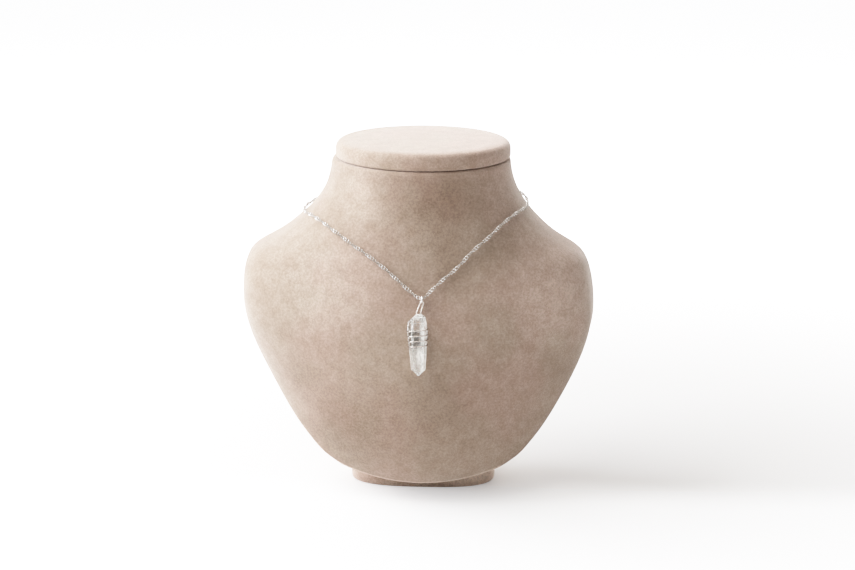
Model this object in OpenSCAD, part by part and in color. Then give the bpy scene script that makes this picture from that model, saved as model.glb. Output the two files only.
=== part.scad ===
// Quartz point pendant on a fine silver chain, worn by a small velvet neck bust.
// Millimetres, +Z up, the front of the bust faces -Y.
// The origin is the centre of the flat underside of the bust's foot.

/* [Bust] */
// Width of the bust over its shoulders
bust_w = 202; // [196:1:202]
// Height of the neck's flat top above the table
neck_top = 191.8; // [190.8:0.2:193.8]
// Thickness of the padded disc on the neck
cap_t = 8; // [6:0.5:10]
// Width of the padded disc
cap_w = 99; // [96:1:101]
// Depth of the padded disc, front to back
cap_d = 84; // [80:1:85]
// Width of the oval foot
foot_w = 84; // [76:1:90]
// Depth of the oval foot, front to back
foot_d = 46; // [44:1:52]
// Height of the oval foot
foot_h = 10; // [8:0.5:11]

/* [Necklace] */
// Width of the chain, the diameter of the tube that stands for it
chain_d = 1.5; // [1.2:0.1:1.6]
// Length of the clasp between its two eyes
clasp_l = 8; // [6:0.5:10]
// Diameter of the clasp
clasp_d = 3; // [2.4:0.1:3]
// Outer diameter of the jump ring
ring_od = 4.7; // [4.6:0.1:5]
// Wire diameter of the jump ring
ring_wire = 0.8; // [0.7:0.05:0.85]

/* [Pendant] */
// How far the pendant leans forward from the vertical, in degrees
lean = 9; // [9:0.5:12]
// Diameter of the wrapping wire
wrap_wire = 0.75; // [0.6:0.05:0.8]
// Distance from one turn of the wrapping wire to the next
wrap_pitch = 2.9; // [2.4:0.1:3]
// Number of turns round the crystal
wrap_turns = 4; // [2:1:4]

/* [Hidden] */
velvet = [0.74, 0.67, 0.6];
silver = [0.84, 0.84, 0.86];
quartz = [0.9, 0.93, 0.93, 0.6];
// Gap between pieces that rest on each other
seat_gap = 0.2;

// The chest, the neck and the back of the bust, a row for each level.
// z is the level at the rim, sag is how far the level dips at the middle of the chest,
// rim_w is the half width at the rim, rim_y and front_y are the rim and the middle of the chest,
// wall is the depth of the side wall behind the rim, flare is how far it spreads outwards,
// back_y is the middle of the back, fold is 1 at a plain crease and 0 where the rim is round, and
// mid is the row's middle, because the shoulders stand a little to one side.
// Columns: z, sag, rim_w, rim_y, front_y, wall, flare, back_y, fold, mid
bust_rows = [
    [ 21.0, 8.7, 45.5, -42.5, -48.0, 30, 2.0, 22.0, 1.00,  0.8],
    [ 27.0, 6.5, 55.2, -39.5, -53.5, 30, 2.0, 26.0, 1.00,  0.7],
    [ 34.0, 4.5, 62.4, -36.0, -57.5, 29, 2.0, 29.0, 1.00,  0.5],
    [ 44.0, 2.5, 70.8, -31.5, -61.0, 28, 2.0, 32.5, 0.95,  0.2],
    [ 56.0, 1.0, 78.8, -26.5, -63.5, 27, 2.0, 35.5, 0.90, -0.1],
    [ 70.0, 0.0, 86.8, -22.0, -64.5, 26, 2.0, 38.0, 0.80, -0.4],
    [ 84.0, 0.0, 93.6, -19.0, -64.0, 25, 2.0, 40.0, 0.65, -1.1],
    [ 97.0, 0.0, 97.9, -17.0, -62.5, 24, 2.0, 41.5, 0.45, -1.8],
    [108.0, 0.0, 99.4, -15.5, -60.5, 23, 1.8, 42.5, 0.25, -2.6],
    [118.0, 0.0, 99.3, -13.5, -58.3, 21, 1.5, 43.5, 0.10, -3.1],
    [126.0, 0.0, 98.6, -11.5, -56.5, 18, 1.0, 44.0, 0.00, -3.5],
    [132.0, 0.0, 97.3, -9.5, -55.1, 14, 0.6, 44.5, 0.00, -3.7],
    [137.0, 0.0, 94.9, -8.0, -53.9, 11, 0.4, 44.8, 0.00, -3.7],
    [141.0, 0.0, 90.3, -6.8, -52.9, 9, 0.2, 45.0, 0.00, -3.7],
    [145.0, 0.0, 83.2, -5.8, -51.9, 8, 0.0, 45.2, 0.00, -3.4],
    [150.0, 0.0, 75.8, -4.8, -50.6, 7, 0.0, 45.4, 0.00, -3.0],
    [156.0, 0.0, 68.8, -4.0, -49.0, 7, 0.0, 45.4, 0.00, -2.5],
    [162.0, 0.0, 62.6, -3.5, -47.3, 7, 0.0, 45.2, 0.00, -1.9],
    [168.0, 0.0, 58.2, -3.0, -45.9, 6, 0.0, 44.8, 0.00, -1.5],
    [175.0, 0.0, 54.2, -3.0, -44.4, 6, 0.0, 44.0, 0.00, -1.2],
    [182.0, 0.0, 51.9, -3.0, -43.5, 6, 0.0, 43.4, 0.00, -1.1],
    [188.0, 0.0, 50.8, -3.0, -43.0, 6, 0.0, 43.0, 0.00, -1.0]
];
// The flat seat under the bust, on the foot, in the same columns as the rows above
bust_seat = [foot_h + seat_gap, 0, 37, -7, -24, 12, 0, 20, 0, 0];
// The rounded edge of the neck's flat top: how far it is drawn in and up from the last row's rim
neck_edge_r = 2.6;
// Width over the widest row, which bust_w scales
bust_rows_w = 202.4;
// Smooth steps from one row to the next, and points round each row
bust_row_steps = 2;
front_steps = 28;
back_steps = 20;
wall_steps = 3;
edge_steps = 3;
oval_sides = 56;
// How much lower the back end of the side wall lies than the rim, for each unit of sag
wall_drop = 0.35;
// The padded disc's edges and crown
cap_low_r = 1.4;
cap_top_r = 3.6;
cap_crown = 0.8;
// How full the ends of the foot's oval are: 2 is an ellipse
foot_fullness = 2.8;
// The foot's rounded lower edge, as stacked layers. Columns: level, narrower by, share of the height
foot_steps = [[0, 2, 0.5], [0.4, 1, 0.75], [1.2, 0, 1]];

// Route of the chain, from beside the right eye of the clasp round the front to the left one.
// Columns: x, y, z
chain_route = [
    [14.5, 45, 170.5], [26, 42, 170], [36.5, 37, 169.5], [45.5, 30, 169], [53, 20.5, 168],
    [58, 9, 167], [59.5, -2, 166], [58.5, -11, 165.5], [55.5, -19.5, 165.5], [47, -33, 162],
    [38.5, -42.5, 155.5], [30.5, -48, 149.5], [22, -52.5, 141], [13, -55.5, 133.5], [8, -57.5, 129],
    [3, -59.5, 125], [-3, -58, 128], [-8.5, -56.5, 132.5], [-16.5, -54, 139], [-24, -52, 144.5],
    [-30.5, -49.5, 148.5], [-37, -46.5, 152], [-43, -42.5, 155.5], [-48.5, -38, 158], [-53.5, -32.5, 160],
    [-60.5, -22.5, 161.5], [-66, -11.5, 161], [-68, 0, 160.5], [-66, 11.5, 161], [-59, 23.5, 162.5],
    [-48.5, 33, 164], [-36.5, 39.5, 166], [-24.5, 43, 168], [-14.5, 45, 169.5]
];
// Which point of the route the ring hangs on
hang_point = 15;
chain_sides = 8;
chain_steps = 2;

// The clasp lies across the back of the neck
clasp_pos = [0, 46.3, 170.5];
clasp_eye_r = 0.9;
clasp_eye_wire = 0.6;
clasp_round = 1;
clasp_reach = clasp_l / 2 + 2 * clasp_eye_r;

// The ring hangs on the chain, and the wire's loop on the ring, each with a little play
hang = chain_route[hang_point];
play = 0.25;
loop_play = 0.15;
ring_drop = ring_od / 2 - ring_wire - chain_d / 2 - play;
loop_drop = ring_drop + ring_od / 2 - ring_wire / 2;
loop_r = ring_wire / 2 + loop_play + wrap_wire / 2;

// The crystal, a row for each level. down is measured from the chain's middle along the leaning
// pendant, left and right are its edges seen from the front, front and back its half depths.
// Columns: down, left, right, front, back
crystal_rows = [
    [ 8.0, -2.7,  0.3, 1.2, 1.0],
    [ 9.6, -4.5,  2.3, 2.7, 2.1],
    [12.6, -7.4,  3.0, 4.2, 3.6],
    [17.4, -7.7,  3.5, 4.6, 4.4],
    [38.8, -5.4,  2.6, 3.5, 3.3],
    [42.2, -1.8, -1.0, 0.3, 0.3]
];
// How far the crystal's axis stands in front of the ring
crystal_y = -3.9;
// Where the crystal's long edges lie across its width, on its front and on its back
front_edges = [0.21, 0.86];
back_edges = [0.3, 0.76];

// The wrapping wire's two legs, from the tucked end up to the loop and from the loop down to the turns.
// Columns: x, y, down
left_leg = [
    [-3.5, 0.9, 16.2], [-3.5, 0.6, 13.8], [-3.4, -0.1, 11.4],
    [-3.1, -0.7, 9.2], [-2.6, -0.5, 7.2], [-1.7, 0, 4.6]
];
right_leg = [[0.4, 0, 4.4], [-0.2, -0.4, 6.4], [-0.6, -0.7, 8.6], [-0.8, -0.3, 10.8], [-0.6, 0.5, 13]];
wrap_sides = 6;
// Level of the turns' start at the middle of the back, and the angle past it where the wire joins them
wrap_start = 15.25;
wrap_first = 30;
// Gap between the turns and the crystal's faces, and how tightly they bend at its edges
wrap_gap = 0.3;
wrap_bend = 16;
wrap_step = 15;

// A value on the smooth curve through four equally spaced values, t of the way from b to c
function smooth(a, b, c, d, t) =
    b + 0.5 * t * (c - a + t * (2 * a - 5 * b + 4 * c - d + t * (3 * (b - c) + d - a)));

// The rows or points of a table, with a number of smooth steps from each one to the next
function smooth_rows(rows, steps) =
    let (last = len(rows) - 1)
    [for (i = [0 : last - 1], k = [0 : steps - 1])
        smooth(rows[max(i - 1, 0)], rows[i], rows[i + 1], rows[min(i + 2, last)], k / steps),
     rows[last]];

// A closed solid skinned over rings with the same number of points, each end closed from its middle.
// The rings run anticlockwise seen from the end that they lead to.
module skin(rings) {
    n = len(rings[0]);
    m = len(rings);
    share = [for (k = [0 : n - 1]) 1 / n];
    middles = [share * rings[0], share * rings[m - 1]];
    points = [for (r = concat(rings, [middles])) each r];
    sides = [for (i = [0 : m - 2], k = [0 : n - 1])
        let (a = i * n + k, b = i * n + (k + 1) % n)
        each [[a, b + n, b], [a, a + n, b + n]]];
    first = [for (k = [0 : n - 1]) [m * n, k, (k + 1) % n]];
    last = [for (k = [0 : n - 1]) [m * n + 1, (m - 1) * n + (k + 1) % n, (m - 1) * n + k]];
    polyhedron(points = points, faces = concat(sides, first, last));
}

function unit(v) = v / norm(v);

// The direction of a path at each of its points
function tangents(path) =
    let (last = len(path) - 1)
    [for (i = [0 : last]) unit(path[min(i + 1, last)] - path[max(i - 1, 0)])];

// A vector turned as little as possible, to stay square to the path
function carried(side, tangent) = unit(side - tangent * (side * tangent));

// A round wire or tube along a path, with a flat ring of points at each of its points
module wire(path, d, sides, start_side) {
    t = tangents(path);
    s = [for (i = 0, v = carried(start_side, t[0]); i < len(path);
              i = i + 1, v = i < len(path) ? carried(v, t[i]) : v) v];
    rings = [for (i = [0 : len(path) - 1])
        let (u = cross(t[i], s[i]))
        [for (k = [0 : sides - 1])
            let (a = 360 * k / sides)
            path[i] + d / 2 * (s[i] * cos(a) + u * sin(a))]];
    skin(rings);
}

// An oval ring of points, w wide and d deep
function oval(w, d, z) =
    [for (k = [0 : oval_sides - 1]) let (a = 360 * k / oval_sides) [w / 2 * cos(a), d / 2 * sin(a), z]];

// A flat oval whose ends are fuller than an ellipse's, w wide and d deep
function full_oval(w, d, fullness) =
    [for (k = [0 : oval_sides - 1])
        let (a = 360 * k / oval_sides)
        let (r = pow(pow(abs(cos(a)), fullness) + pow(abs(sin(a)), fullness), -1 / fullness))
        [w / 2 * r * cos(a), d / 2 * r * sin(a)]];

// One ring of the bust: the right wall, the back, the left wall and the front.
// lift raises it and inset draws it in, for the rounded edge of the neck.
function bust_ring(row, lift = 0, inset = 0) =
    let (
        z = row[0] + lift, sag = row[1], rim_w = row[2] - inset, rim_y = row[3], front_y = row[4] + inset,
        wall = row[5], flare = row[6], back_y = row[7] - inset, fold = row[8],
        back_w = rim_w + flare, wall_y = rim_y + wall, drop = sag * wall_drop, wide = bust_w / bust_rows_w,
        points = [
            for (k = [0 : wall_steps - 1]) let (t = k / wall_steps)
                [rim_w + flare * t, rim_y + wall * t, z - drop * t],
            for (k = [0 : back_steps - 1]) let (a = 180 * k / back_steps, s = 1 - pow(abs(cos(a)), 2.2))
                [back_w * cos(a), wall_y + (back_y - wall_y) * sqrt(s), z - drop],
            for (k = [0 : wall_steps - 1]) let (t = 1 - k / wall_steps)
                [-rim_w - flare * t, rim_y + wall * t, z - drop * t],
            for (k = [0 : front_steps - 1]) let (a = 180 + 180 * k / front_steps, s = pow(sin(a), 2))
                [rim_w * cos(a), rim_y + (front_y - rim_y) * pow(s, 1 / (2 - fold)), z - sag * s]
        ]
    )
    [for (p = points) [row[9] + p.x * wide, p.y, p.z]];

module neck_bust() {
    edge = bust_rows[len(bust_rows) - 1];
    rings = concat(
        [bust_ring(bust_seat)],
        [for (row = smooth_rows(bust_rows, bust_row_steps)) bust_ring(row)],
        [for (k = [0 : edge_steps]) let (a = 90 * k / edge_steps)
            bust_ring(edge, neck_top - edge[0] - neck_edge_r * (1 - sin(a)), neck_edge_r * (1 - cos(a)))]
    );
    color(velvet) skin(rings);
}

// The padded disc: a tight rounded edge below, a soft one above and a slight crown
module bust_cap() {
    low = neck_top + seat_gap;
    top = low + cap_t;
    arcs = concat(
        [for (k = [0 : edge_steps]) let (a = 90 * k / edge_steps)
            [cap_low_r * (1 - sin(a)), low + cap_low_r * (1 - cos(a))]],
        [for (k = [0 : 2 * edge_steps]) let (a = 45 * k / edge_steps)
            [cap_top_r * (1 - cos(a)), top - cap_crown - cap_top_r * (1 - sin(a))]],
        [[cap_d / 4, top - cap_crown / 4], [cap_d / 2 - 2, top]]
    );
    color(velvet) skin([for (p = arcs) oval(cap_w - 2 * p[0], cap_d - 2 * p[0], p[1])]);
}

module bust_foot() {
    color(velvet)
        for (step = foot_steps)
            translate([0, 0, step[0]])
                linear_extrude(height = foot_h * step[2] - step[0])
                    polygon(full_oval(foot_w - step[1], foot_d - step[1], foot_fullness));
}

module chain() {
    start = clasp_pos + [clasp_reach + seat_gap, 0, 0];
    path = concat([start], chain_route, [[-start.x, start.y, start.z]]);
    color(silver) wire(smooth_rows(path, chain_steps), chain_d, chain_sides, [0, 0, 1]);
}

// A plain barrel with an eye at each end for the chain's last links
module clasp() {
    half = clasp_l / 2;
    color(silver)
        translate(clasp_pos) {
            rotate([0, 90, 0])
                rotate_extrude($fn = 48)
                    polygon([
                        [0, -half], [clasp_d / 2 - clasp_round, -half], [clasp_d / 2, clasp_round - half],
                        [clasp_d / 2, half - clasp_round], [clasp_d / 2 - clasp_round, half], [0, half]
                    ]);
            for (side = [-1, 1])
                translate([side * (half + clasp_eye_r - clasp_eye_wire / 2), 0, 0])
                    rotate_extrude($fn = 48)
                        translate([clasp_eye_r, 0])
                            circle(d = clasp_eye_wire, $fn = 24);
        }
}

// Puts a piece of the pendant where the ring hangs on the chain, leaning as it hangs
module hung() {
    translate(hang) rotate([-lean, 0, 0]) children();
}

module jump_ring() {
    color(silver)
        hung()
            translate([0, 0, -ring_drop])
                rotate([0, 90, 0])
                    rotate_extrude($fn = 64)
                        translate([(ring_od - ring_wire) / 2, 0])
                            circle(d = ring_wire, $fn = 24);
}

// The six corners of the crystal at one row, round its axis, anticlockwise from above
function crystal_corners(row) =
    let (l = row[1], w = row[2] - row[1], f = row[3], b = row[4])
    [[l + w, 0], [l + back_edges[1] * w, b], [l + back_edges[0] * w, b],
     [l, 0], [l + front_edges[0] * w, -f], [l + front_edges[1] * w, -f]];

// The crystal's row at a distance down, between the rows of its table
function crystal_at(down) =
    [for (c = [0 : 4]) lookup(down, [for (row = crystal_rows) [row[0], row[c]]])];

module quartz_point() {
    last = len(crystal_rows) - 1;
    color(quartz)
        hung()
            skin([for (i = [last : -1 : 0])
                [for (c = crystal_corners(crystal_rows[i])) [c.x, c.y + crystal_y, -crystal_rows[i][0]]]]);
}

// A point of the wire's turns, at an angle from the middle of the back towards the right
function turn_point(angle) =
    let (
        down = wrap_start + wrap_pitch * angle / 360,
        row = crystal_at(down),
        corners = crystal_corners(row),
        mid = [(row[1] + row[2]) / 2, 0],
        away = [sin(angle), cos(angle)],
        reach = wrap_wire / 2 + wrap_gap,
        pulls = [for (i = [0 : 5])
            let (
                a = corners[i] - mid, b = corners[(i + 1) % 6] - mid, along = unit(b - a),
                out = [along.y, -along.x], d = out * a + reach
            )
            max(0, out * away) / d],
        r = pow([for (p = pulls) pow(p, wrap_bend)] * [for (p = pulls) 1], -1 / wrap_bend)
    )
    [mid.x + r * away.x, crystal_y + r * away.y, -down];

module wire_wrap() {
    loop = [for (k = [0 : 8]) let (a = 180 - 22.5 * k) [loop_r * cos(a), 0, loop_r * sin(a) - loop_drop]];
    legs = smooth_rows(concat(
        [for (p = left_leg) [p.x, p.y, -p.z]], loop,
        [for (p = right_leg) [p.x, p.y, -p.z]], [turn_point(wrap_first)]
    ), 2);
    turns = [for (a = [wrap_first + wrap_step : wrap_step : 360 * wrap_turns]) turn_point(a)];
    color(silver) hung() wire(concat(legs, turns), wrap_wire, wrap_sides, [0, 1, 0]);
}

neck_bust();
bust_cap();
bust_foot();
chain();
clasp();
jump_ring();
wire_wrap();
quartz_point();
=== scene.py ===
import math

import bmesh
import bpy
from mathutils import Matrix, Vector, noise


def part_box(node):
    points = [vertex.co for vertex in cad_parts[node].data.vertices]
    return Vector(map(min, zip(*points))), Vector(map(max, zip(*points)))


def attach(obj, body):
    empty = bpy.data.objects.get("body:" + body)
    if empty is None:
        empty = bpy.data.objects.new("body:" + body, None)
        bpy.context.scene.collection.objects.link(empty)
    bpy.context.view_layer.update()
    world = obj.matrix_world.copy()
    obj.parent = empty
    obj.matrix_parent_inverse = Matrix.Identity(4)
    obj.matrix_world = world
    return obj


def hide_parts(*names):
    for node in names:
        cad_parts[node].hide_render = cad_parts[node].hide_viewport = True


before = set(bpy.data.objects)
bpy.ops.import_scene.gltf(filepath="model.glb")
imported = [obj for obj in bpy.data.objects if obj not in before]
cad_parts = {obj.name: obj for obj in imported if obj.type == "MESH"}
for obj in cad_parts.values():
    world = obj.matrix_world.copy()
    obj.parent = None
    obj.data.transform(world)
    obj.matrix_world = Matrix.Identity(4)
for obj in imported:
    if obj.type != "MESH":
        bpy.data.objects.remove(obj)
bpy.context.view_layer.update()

MM = 0.001
UP = Vector((0, 0, 1))
RIGHT_ANGLE = math.radians(90)
FULL_TURN = 2 * math.pi
# Points of a mesh that are closer than this are one point
SAME_POINT = 0.001 * MM
# The start of the noise that stirs the crystal's inside, so that it is the same each time
NOISE_SEED = 1

# The photograph's view, as turns in degrees and lengths in metres
VIEW_TURN = 3.5
VIEW_TILT = 16.0
VIEW_DISTANCE = 1.2
VIEW_AIM = (0.00217, 0.0043, 0.1145)
PHOTO_WIDTH = 855
FOCAL_PIXELS = 2076

# Soft boxes on a ball round the chest: name, turn from the front to the right, height angle, size, power and
# warmth
LIGHT_AIM = (0, 0, 0.11)
LIGHT_DISTANCE = 1.3
STUDIO_LIGHTS = [
    ("window_box", -90, 38, (1.0, 1.2), 48, -0.6),
    ("left_back_box", -125, 18, (0.8, 0.5), 14, -0.3),
    ("left_front_box", -45, 58, (0.8, 0.8), 9, 0.6),
    ("back_box", 180, 40, (1.1, 0.7), 15, 0.0),
    ("right_back_box", 135, 32, (0.8, 0.8), 6, 0.8),
]
# How much red, green and blue a warmth of 1 takes from a light
WARMTH_TAKES = (0, 0.07, 0.15)
# The white room: its colour, and how strongly it lights dull things, shows in polished ones and to the eye
ROOM_COLOUR = (1, 0.975, 0.945, 1)
ROOM_LIGHT = 0.11
ROOM_SHINE = 1.5
ROOM_WHITE = 2.6
# The white table, with the colour of its own glow
TABLE_RADIUS = 6
TABLE_COLOUR = (0.72, 0.7, 0.685, 1)
GLOW_COLOUR = (0.97, 0.98, 1, 1)
# The glow to the eye, each with its start, its end and its strength: away from a point behind on the right,
# and forward from the foot's middle; and the share of it that lights other things
GLOW_MIDDLE = (0.12, 0.06, 0)
TABLE_GLOW = (0.05, 0.6, 2.3)
FRONT_GLOW = (0.0, -0.05, 0.7)
TABLE_LIGHT = 0.12

# The photograph's highlights: the light that turns white, the gain in the shadows and the curve's points
TONE_WHITE = 3.0
TONE_GAIN = 1.3
TONE_STEPS = (0.05, 0.1, 0.2, 0.35, 0.55, 0.8, 1.1, 1.5, 2.0, 2.5)

# The chain's route from beside the clasp's right eye round the front to its left eye, in metres
CHAIN_ROUTE = [
    (0.0145, 0.045, 0.1705), (0.026, 0.042, 0.17), (0.0365, 0.037, 0.1695), (0.0455, 0.03, 0.169),
    (0.053, 0.0205, 0.168), (0.058, 0.009, 0.167), (0.0595, -0.002, 0.166), (0.0585, -0.011, 0.1655),
    (0.0555, -0.0195, 0.1655), (0.047, -0.033, 0.162), (0.0385, -0.0425, 0.1555), (0.0305, -0.048, 0.1495),
    (0.022, -0.0525, 0.141), (0.013, -0.0555, 0.1335), (0.008, -0.0575, 0.129), (0.003, -0.0595, 0.125),
    (-0.003, -0.058, 0.128), (-0.0085, -0.0565, 0.1325), (-0.0165, -0.054, 0.139), (-0.024, -0.052, 0.1445),
    (-0.0305, -0.0495, 0.1485), (-0.037, -0.0465, 0.152), (-0.043, -0.0425, 0.1555), (-0.0485, -0.038, 0.158),
    (-0.0535, -0.0325, 0.16), (-0.0605, -0.0225, 0.1615), (-0.066, -0.0115, 0.161), (-0.068, 0.0, 0.1605),
    (-0.066, 0.0115, 0.161), (-0.059, 0.0235, 0.1625), (-0.0485, 0.033, 0.164), (-0.0365, 0.0395, 0.166),
    (-0.0245, 0.043, 0.168), (-0.0145, 0.045, 0.1695),
]
# How finely the route is drawn between two points, and how far back and up the clasp's eyes end it, in metres
ROUTE_STEPS = 24
CLASP_BACK = 0.0463
CLASP_HEIGHT = 0.1705
# The point of the route that the ring hangs from, and how far the pendant leans forward
HANG_POINT = 15
PENDANT_LEAN = math.radians(9)

# The velvet's colour in broad blotches, and the tints of the layers over it, each where its mask is 0 and 1
VELVET = ((0.37, 0.258, 0.197), (0.35, 0.262, 0.195))
BRUSHED = ((0.9, 0.88, 0.86), (1.07, 1.08, 1.09))
SPECKLED = ((0.86, 0.85, 0.84), (1.12, 1.12, 1.12))
PILE = ((0.86, 0.86, 0.86), (1.12, 1.12, 1.12))
# The tints of the painted shade and the painted light in patches, where the patches' share is 0 and 1
PAINTED_PATCH_TINTS = ((0.44, 0.35, 0.27), (1.54, 1.6, 1.7))
# Painted light along the fold's pale line, on the cap and on the foot; below it, painted shade along the
# fold's dark line
PAINTED_LIGHT_TINT = ((1, 1, 1), (1.6, 1.62, 1.68))
SHADED_FOLD = ((1, 1, 1), (0.66, 0.63, 0.62))
# Patches of painted light and painted shade on the velvet, lighter or darker. Columns: middle to the right
# and above the table, half width and half height in millimetres, and lightness
PAINTED_LIGHT_AND_SHADE = {
    "left_breast": (-50, 128, 46, 40, 1.6),
    "right_breast": (76, 122, 34, 36, 1.5),
    "neck": (14, 174, 38, 32, 0.66),
    "throat": (18, 142, 17, 26, 0.72),
    "neck_right": (44, 148, 18, 18, 0.8),
    "neck_left": (-32, 178, 18, 30, 1.4),
    "belly": (8, 66, 34, 30, 0.85),
    "low": (12, 52, 100, 62, 0.84),
    "low_left": (-40, 48, 42, 34, 0.68),
    "left_flank": (-68, 72, 20, 18, 0.75),
    "right_flank": (82, 73, 24, 26, 0.74),
    "foot_right": (34, 4, 28, 14, 1.9),
}
# The middle and the half depth of every patch, from front to back in millimetres, and the lightness at which
# the two tints of the painted light and shade are reached
PAINTED_PATCH_DEPTH = (-45, 60)
PAINTED_PATCH_LIGHTNESS = (0.4, 1.6)

# Silver: its faint cloudiness and its colours, dark and light, on each piece; the dark ones of the wound wire
# and of the chain's recesses are painted shade
HAZE = {"Scale": 700.0, "Detail": 2.0, "Low": 0.3, "High": 0.7}
POLISHED_SILVER = ((0.86, 0.83, 0.81), (0.97, 0.94, 0.92))
POLISHED_ROUGHNESS = (0.1, 0.24)
WOUND_WIRE_PAINTED_SHADE = ((0.32, 0.285, 0.26), (0.52, 0.47, 0.43))
FREE_SILVER = (0.62, 0.56, 0.51)
RECESS_PAINTED_SHADE = ((0.24, 0.205, 0.175), (0.34, 0.3, 0.265))
FILED_SILVER = (0.96, 0.95, 0.94)
CHAIN_ROUGHNESS = (0.4, 0.22)
# Where the painted shade on the wound wire ends and the wire turns bright, up from the table with the pendant
# at rest
WIRE_SHADE_ENDS = (112 * MM, 116 * MM)

# Two triangles of a solid's skin are joined while they turn and are out of square by no more than this
PAIR_TURN = math.radians(40)
PAIR_SHAPE = math.radians(60)
# The cloth's fold along the rim of the bust: how sharp an edge is folded, how sharp a faint one between two
# heights is, and how high the fold is followed on beyond them
RIM_ANGLE = math.radians(40)
FAINT_RIM_ANGLE = math.radians(14)
RIM_FAINT = (35 * MM, 100 * MM)
RIM_TOP = 112 * MM
# It starts above the seat on the foot and stays in front of RIM_BACK, and the ends that it is followed on
# from lie in front of RIM_FRONT
RIM_LOWEST = 11.5 * MM
RIM_BACK = -10 * MM
RIM_FRONT = -15 * MM
# Its rounding, and how near to it the skin's slivers are drawn into it
RIM_ROUND = 1.0 * MM
RIM_CLEARED = 1.3 * MM
# Where the fold's pale line of painted light on the left and its dark line of painted shade on the right are
# full and gone, up from the table, and how far to the right the dark one starts
PALE_LINE = (45 * MM, 80 * MM)
DARK_LINE = (75 * MM, 110 * MM)
DARK_LINE_RIGHT = 46 * MM
# The cap's padding: the rounding of its lower edge and of its upper one, the degrees that the upper one turns
# through and its height in radii, and how far the crown and the whole cap are padded up
CAP_LOW_ROUND = 1.4 * MM
CAP_TOP_ROUND = 4.5 * MM
CAP_TOP_TURN = 72
CAP_TOP_HEIGHT = 0.95
CAP_CROWN = 1.2 * MM
CAP_RISE = 2.4 * MM
# The steps that the lower edge, the upper edge and the crown are drawn in, and the cap's and the foot's sides
CAP_STEPS = (4, 6, 8)
OVAL_SIDES = 96
# How much of the fold's painted light the cap's crown has, from how far below its shoulder, and how much its
# side and the foot have, with what the lighter end adds: painted light on the crown as lit from above, on the
# cap's side growing to the lit left, and on the foot growing to the right, where it lies in shade
CROWN_PAINTED_LIGHT = 0.38
CROWN_DOWN = 1 * MM
CAP_SIDE_PAINTED_LIGHT = (0.12, 0.25)
FOOT_PAINTED_LIGHT = (0.5, 0.5)
# The foot: the rounding of its edges, and how full the ends of its oval are, where 2 is an ellipse
FOOT_ROUND = 1.0 * MM
FOOT_FULLNESS = 2.8

# One link of the chain: a bent oval of wire, twisted so that its neighbour passes through it
LINK_LONG = 2.6 * MM
LINK_WIDE = 2.1 * MM
LINK_WIRE = 0.46 * MM
LINK_PITCH = 1.6 * MM
LINK_SIDES = 6
LINK_BEND_STEPS = 5
# Length of chain over which its own twist turns a link half round
HALF_TWIST = 8.8 * MM
# The links are filed flat on both sides, to this distance from the chain's middle. A link is bright where
# FILED_SPREAD times its way out to there is past FILED_START, and keeps a little of it where that side faces
# away; elsewhere the links get painted shade
FILED = 0.37 * MM
FILED_SPREAD = 2
FILED_START = 0.9
LIGHT_KEPT_FACING_AWAY = 0.08
# The jump ring: the width of the cut through it and the cut's turn, and the sides and steps of its wire
RING_CUT = 0.08 * MM
RING_CUT_TURN = math.radians(70)
RING_STEPS = (16, 71)
# The clasp's barrel and its eyes, with the sides and steps of an eye's wire
CLASP_LONG = 8 * MM
CLASP_WIDE = 3 * MM
CLASP_ROUND = 1 * MM
CLASP_SIDES = 40
EYE_RADIUS = 0.9 * MM
EYE_WIRE = 0.6 * MM
EYE_STEPS = (12, 40)
# How far the six sides of the wrapping wire are let out before they are smoothed
WRAP_LET_OUT = 0.03 * MM

# Clear quartz: its colour and its roughness where it is clean and frosted, and what a worn edge adds
CLEAR_QUARTZ = ((0.97, 0.985, 0.98), (0.99, 0.99, 0.985))
QUARTZ_ROUGHNESS = (0.02, 0.22)
WORN_ROUGHNESS = 0.4
# Milky quartz on its shaded and on its light side: its colour, painted darker and lighter, and the painted
# glow that it gives on the light side
MILK = ((0.7, 0.65, 0.6), (1, 0.99, 0.97))
MILK_PAINTED_GLOW = ((0, 0, 0), (0.4, 0.39, 0.37))
# Its streaks along the crystal: their tints, how tightly they lie in each direction and the span of noise
# that they fade over; and how much of the milk the streaks and the clouds leave where they are thinnest
MILK_STREAKS = ((0.92, 0.92, 0.92), (1, 1, 1))
STREAK_SCALE = (1100, 1100, 110)
STREAK_SPAN = (0.35, 0.6)
STREAK_THINNEST = 0.35
CLOUD_THINNEST = 0.3
# Painted shade: the dark colour of the sheets inside the crystal, and how much of what lies behind them is
# hidden in their patches
PAINTED_SHADE = (0.1, 0.085, 0.07, 1)
PAINTED_SHADE_HIDES = 0.85
# The crystal's middle beside and behind the ring, and the wear of its edges
CRYSTAL_AXIS = (-1.9 * MM, -3.9 * MM)
CRYSTAL_WEAR = 0.14 * MM
# The cloud's share of the crystal's width, depth and length, and the cuts in each of its edges
CLOUD_SHARE = (0.9, 0.9, 0.96)
CLOUD_CUTS = 5
# How far the cloud's skin and the sheets inside the crystal are stirred, and how tightly
CLOUD_STIR = (0.25 * MM, 600)
SHEET_STIR = (0.4 * MM, 450)
# Where the quartz turns milky and is at its milkiest, up from the table and to the right with the pendant at
# rest. Columns: direction, start, end and how milky it gets
MILKY_TOP = (112 * MM, 118 * MM)
MILKY_PARTS = [
    ("Z", 104 * MM, 96 * MM, 1.0),
    ("Z", *MILKY_TOP, 0.85),
    ("X", -1.4 * MM, -3.4 * MM, 0.35),
    ("X", 1.4 * MM, 4.2 * MM, 0.8),
]
# Where its shaded side goes over into its light one, to the right
LIGHT_SIDE = (-1 * MM, 5 * MM)
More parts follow.
